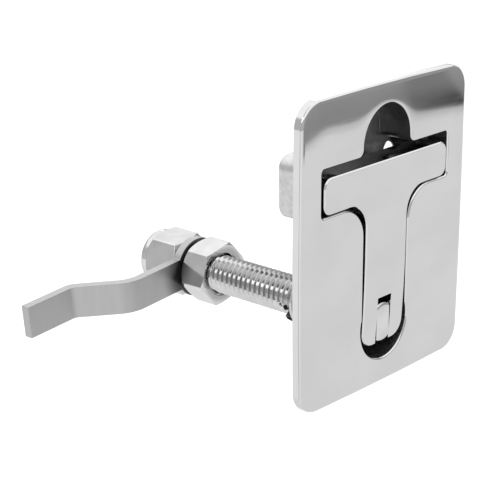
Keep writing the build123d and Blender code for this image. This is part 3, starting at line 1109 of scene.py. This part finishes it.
def room(settings):
    """World: white for the camera, plain for matt surfaces, and a grey wall for polished ones."""
    world = bpy.data.worlds.new("studio_room")
    bpy.context.scene.world = world
    world.use_nodes = True
    tree = world.node_tree
    tree.nodes.clear()
    sums = Sums(tree)
    way = add_node(tree, "ShaderNodeTexCoord").outputs["Generated"]
    window = sums.ramp(sums.dot(way, LEFT), *WINDOW_TURN, 1.0, settings.window_gain)
    ceiling = sums.ramp(sums.dot(way, UP), *CEILING_RISE, 0.0, settings.ceiling_gain)
    shade, wall, floor_shade = wall_shades(sums, way, settings)
    glow = sums.ramp(sums.dot(way, BACK_RIGHT), *BACK_GLOW_TURN, 0.0, settings.back_glow)
    bright = sums.do("MAXIMUM", sums.do("MAXIMUM", window, ceiling), glow)
    white = sums.do("MULTIPLY", bright, floor_shade)
    mirrored = sums.blend(wall, white, shade)
    left_shade, on_left = left_side(sums, way, settings)
    mirrored = sums.blend(on_left, mirrored, left_shade)
    rays = add_node(tree, "ShaderNodeLightPath").outputs
    polished = sums.do("MAXIMUM", rays["Is Glossy Ray"], rays["Is Transmission Ray"])
    level = sums.blend(polished, settings.room_shade, mirrored)
    level = sums.blend(rays["Is Camera Ray"], level, 1.0)
    light = add_node(tree, "ShaderNodeBackground", {"Color": level})
    add_node(tree, "ShaderNodeOutputWorld", {"Surface": light.outputs[0]})


def floor(settings):
    """Pale floor that the camera sees white, with a soft shadow."""
    half = settings.floor_width / 2
    mesh = bpy.data.meshes.new("studio_floor")
    outline = ((-half, -half), (half, -half), (half, half), (-half, half))
    corners = [(x, y, settings.floor_level) for x, y in outline]
    mesh.from_pydata(corners, [], [(0, 1, 2, 3)])
    piece = show(mesh, "studio_floor")
    material = bpy.data.materials.new("pale_floor")
    material.use_nodes = True
    tree = material.node_tree
    tree.nodes.clear()
    rays = add_node(tree, "ShaderNodeLightPath").outputs
    matt = add_node(tree, "ShaderNodeBsdfDiffuse", {"Color": (*settings.floor_colour, 1.0)})
    lift = Sums(tree).do("MULTIPLY", rays["Is Camera Ray"], settings.floor_lift)
    glow = add_node(tree, "ShaderNodeEmission", {"Strength": lift})
    both = add_node(tree, "ShaderNodeAddShader", {0: matt.outputs[0], 1: glow.outputs[0]})
    add_node(tree, "ShaderNodeOutputMaterial", {"Surface": both.outputs[0]})
    mesh.materials.append(material)
    piece.visible_glossy = False


# Camera and lamp, in metres, with the camera's turns in degrees
CAMERA_PLACE = (-0.32516, -0.24412, 0.15795)
CAMERA_TURNS = (71.379, 0.291, -48.078)
LAMP_PLACE = (-0.5, -0.5, 1.3)


def lamp(settings):
    """Large soft lamp overhead, which polished faces don't mirror."""
    data = bpy.data.lights.new("soft_lamp", "AREA")
    data.shape = "DISK"
    data.size = settings.lamp_width
    data.energy = settings.lamp_power
    light = bpy.data.objects.new("soft_lamp", data)
    light.location = LAMP_PLACE
    light.rotation_euler = (-light.location).to_track_quat("-Z", "Y").to_euler()
    light.visible_glossy = False
    bpy.context.scene.collection.objects.link(light)


def camera():
    """Camera where the photograph was taken from."""
    data = bpy.data.cameras.new("studio_camera")
    data.sensor_width = 36.0
    data.lens = 108.0
    data.clip_start = 0.01
    view = bpy.data.objects.new("studio_camera", data)
    view.location = CAMERA_PLACE
    view.rotation_euler = [radians(turn) for turn in CAMERA_TURNS]
    bpy.context.scene.collection.objects.link(view)
    bpy.context.scene.camera = view


class Studio(Operator):
    """Pale floor, soft light and the camera"""

    bl_idname = "latch.studio"
    bl_label = "Studio"

    def execute(self, context):
        settings = context.scene.latch_studio
        context.scene.view_settings.view_transform = "Standard"
        room(settings)
        floor(settings)
        lamp(settings)
        camera()
        return {"FINISHED"}


operators = (Studio, CastBody, THandle, Spindle, Nuts, CamArm, SmallPieces)

settings_groups = {
    "latch_studio": StudioSettings,
    "latch_casting": CastingSettings,
    "latch_spindle": SpindleSettings,
    "latch_nuts": NutSettings,
    "latch_arm": ArmSettings,
    "latch_small_pieces": SmallPieceSettings,
}


class LatchPanel(Panel):
    """Sizes, colours and steps of the latch"""

    bl_idname = "VIEW3D_PT_latch"
    bl_label = "Flush pull latch"
    bl_space_type = "VIEW_3D"
    bl_region_type = "UI"
    bl_category = "Latch"

    def draw(self, context):
        for operator in operators:
            self.layout.operator(operator.bl_idname)
        for name in settings_groups:
            box = self.layout.box()
            group = getattr(context.scene, name)
            for key in group.__annotations__:
                box.prop(group, key)


def register():
    for name, group in settings_groups.items():
        bpy.utils.register_class(group)
        setattr(bpy.types.Scene, name, PointerProperty(type=group))
    for operator in operators:
        bpy.utils.register_class(operator)
    bpy.utils.register_class(LatchPanel)


def unregister():
    bpy.utils.unregister_class(LatchPanel)
    for operator in reversed(operators):
        bpy.utils.unregister_class(operator)
    for name, group in settings_groups.items():
        delattr(bpy.types.Scene, name)
        bpy.utils.unregister_class(group)


def main():
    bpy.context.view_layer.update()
    register()
    bpy.ops.latch.studio()
    bpy.ops.latch.cast_body()
    bpy.ops.latch.t_handle()
    bpy.ops.latch.spindle()
    bpy.ops.latch.nuts()
    bpy.ops.latch.cam_arm()
    bpy.ops.latch.small_pieces()


if __name__ == "__main__":
    main()
